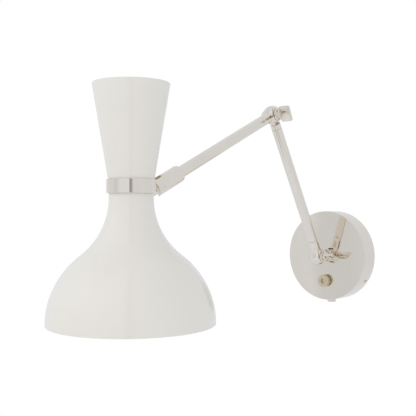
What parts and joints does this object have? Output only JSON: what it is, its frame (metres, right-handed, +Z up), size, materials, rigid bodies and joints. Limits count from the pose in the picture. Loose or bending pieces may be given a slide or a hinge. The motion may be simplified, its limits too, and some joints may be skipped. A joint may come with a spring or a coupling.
{
  "type": "swing arm wall sconce",
  "caption": "Wall light with a diabolo shade on a jointed arm of polished tubes, clamped by paddle screws and carried by a round wall canopy.",
  "frame": {"origin": "centre of the canopy's back, on the wall, at the middle of the wall plate's two screw slots", "axes": "+Y into the wall, -Y towards the shade, +Z up, +X to the right seen from the room"},
  "size_m": [0.1692, 0.463, 0.2549],
  "materials": {
    "polished_nickel": "polished",
    "ivory_enamel": "gloss",
    "zinc_steel": "satin",
    "hardened_steel": "satin",
    "brass": "satin",
    "black_plastic": "matte",
    "white_plastic": "gloss",
    "nylon": "matte"
  },
  "bodies": {
    "canopy": {"canopy_shell": "polished_nickel", "wall_plate": "zinc_steel", "ground_screw": "brass", "canopy_side_screws": "polished_nickel", "canopy_thumb_screw": "polished_nickel", "switch_housing": "black_plastic", "switch_collar": "brass", "switch_ring_nut": "polished_nickel", "stem_bushing": "nylon"},
    "switch": {"switch_shaft": "brass", "switch_knob": "polished_nickel"},
    "stem": {"stem_post": "polished_nickel", "stem_spring_washer": "hardened_steel", "stem_nut": "zinc_steel"},
    "lower_arm": {"lower_arm_base_knuckle": "polished_nickel", "base_friction_washers": "nylon", "base_cap_nut": "polished_nickel", "lower_arm_tube": "polished_nickel", "lower_arm_elbow_tongue": "polished_nickel"},
    "base_screw": {"base_clamping_screw": "polished_nickel"},
    "upper_arm": {"upper_arm_elbow_knuckle": "polished_nickel", "elbow_friction_washers": "nylon", "elbow_cap_nut": "polished_nickel", "upper_arm_tube": "polished_nickel"},
    "elbow_screw": {"elbow_clamping_screw": "polished_nickel"},
    "sleeve": {"shade_sleeve": "polished_nickel", "shade_hinge_pin": "polished_nickel", "sleeve_retaining_screw": "hardened_steel"},
    "shade": {"shade_tongue": "polished_nickel", "shade_band": "polished_nickel", "shade_fixing_screws": "zinc_steel", "upper_shade": "ivory_enamel", "lower_shade": "ivory_enamel", "waist_plate": "zinc_steel", "waist_plate_screws": "zinc_steel", "lamp_pipe": "brass", "lamp_pipe_nuts": "brass", "upper_lampholder_cup": "white_plastic", "upper_lampholder_disc": "black_plastic", "upper_lampholder_shell": "brass", "upper_lampholder_contact": "brass", "lower_lampholder_cup": "white_plastic", "lower_lampholder_disc": "black_plastic", "lower_lampholder_shell": "brass", "lower_lampholder_contact": "brass"}
  },
  "joints": [
    {"name": "switch_turn", "type": "hinge", "parent": "canopy", "child": "switch", "pos_m": [0, -0.026, -0.034], "axis": [0, -1, 0], "continuous": true},
    {"name": "stem_swivel", "type": "hinge", "parent": "canopy", "child": "stem", "pos_m": [0, -0.026, 0], "axis": [0, -1, 0], "range_deg": [-90, 90]},
    {"name": "lower_arm_hinge", "type": "hinge", "parent": "stem", "child": "lower_arm", "pos_m": [0, -0.0452, 0], "axis": [1, 0, 0], "range_deg": [-29, 60]},
    {"name": "base_screw_turn", "type": "hinge", "parent": "lower_arm", "child": "base_screw", "pos_m": [0, -0.0452, 0], "axis": [1, 0, 0], "continuous": true},
    {"name": "elbow_hinge", "type": "hinge", "parent": "lower_arm", "child": "upper_arm", "pos_m": [0, -0.14601, 0.17965], "axis": [1, 0, 0], "range_deg": [-80, 32]},
    {"name": "elbow_screw_turn", "type": "hinge", "parent": "upper_arm", "child": "elbow_screw", "pos_m": [0, -0.14601, 0.17965], "axis": [1, 0, 0], "continuous": true},
    {"name": "sleeve_swivel", "type": "hinge", "parent": "upper_arm", "child": "sleeve", "pos_m": [0, -0.34236, 0.08725], "axis": [0, -0.9048, -0.4258], "range_deg": [-90, 90]},
    {"name": "shade_tilt", "type": "hinge", "parent": "sleeve", "child": "shade", "pos_m": [0, -0.34236, 0.08725], "axis": [1, 0, 0], "range_deg": [-40, 40]}
  ]
}
